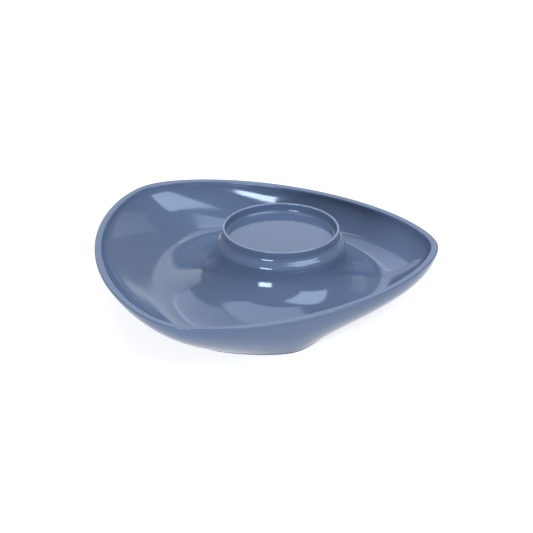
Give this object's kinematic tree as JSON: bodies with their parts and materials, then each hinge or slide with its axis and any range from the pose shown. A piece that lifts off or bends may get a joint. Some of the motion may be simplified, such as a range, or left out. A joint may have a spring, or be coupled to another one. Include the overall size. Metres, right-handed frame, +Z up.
{
  "type": "chip and dip server",
  "caption": "Three-cornered serving tray with a rolled rim, an off-centre raised pedestal and a lift-out dip cup on top.",
  "frame": {"origin": "on the table, under the middle of the tray's bounding box", "axes": "+Z up, +X towards the corner of the tray that is nearest the dip cup, +Y across the tray"},
  "size_m": [0.354, 0.3538, 0.077],
  "materials": {
    "tray_plastic": "glossy moulded plastic, muted slate blue",
    "cup_plastic": "glossy moulded plastic, muted slate blue",
    "foot_rubber": "matte soft rubber, darker slate blue"
  },
  "bodies": {
    "tray_body": {"tray": "tray_plastic", "foot_ring": "foot_rubber"},
    "cup_body": {"dip_cup": "cup_plastic"}
  },
  "joints": [
    {"name": "cup_lift", "type": "slide", "parent": "tray_body", "child": "cup_body", "axis": [0, 0, 1], "range_m": [0, 0.06]}
  ]
}
